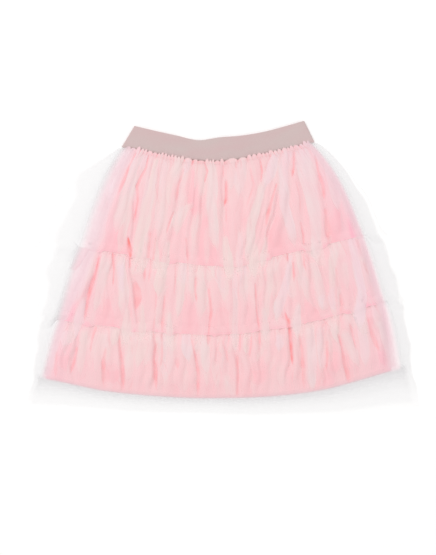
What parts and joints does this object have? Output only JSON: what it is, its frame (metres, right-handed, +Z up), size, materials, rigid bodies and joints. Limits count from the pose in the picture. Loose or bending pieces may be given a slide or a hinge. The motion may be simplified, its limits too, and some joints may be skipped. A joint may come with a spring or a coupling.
{
  "type": "ruffle skirt",
  "caption": "Tiered ruffle skirt laid flat: flat elastic waistband over gathered tulle tiers that widen to the hem, sewn edge to edge as an open tube of thin cloth",
  "frame": {"origin": "middle of the skirt's box across its width and its length, on the surface that the skirt lies on", "axes": "+X across the skirt towards the right of its front as seen from above, +Y from the hem to the waistband, +Z up out of the surface, the way the front faces"},
  "size_m": [0.5462, 0.4224, 0.0109],
  "materials": {
    "waistband": "matt woven elastic with fine lengthwise ribs",
    "tier_top": "soft matt tulle in several plies",
    "tier_middle": "soft matt tulle in several plies",
    "tier_bottom": "soft matt tulle in several plies"
  },
  "bodies": {
    "root": {"waistband": "waistband", "tier_top": "tier_top", "tier_middle": "tier_middle", "tier_bottom": "tier_bottom"}
  },
  "joints": []
}
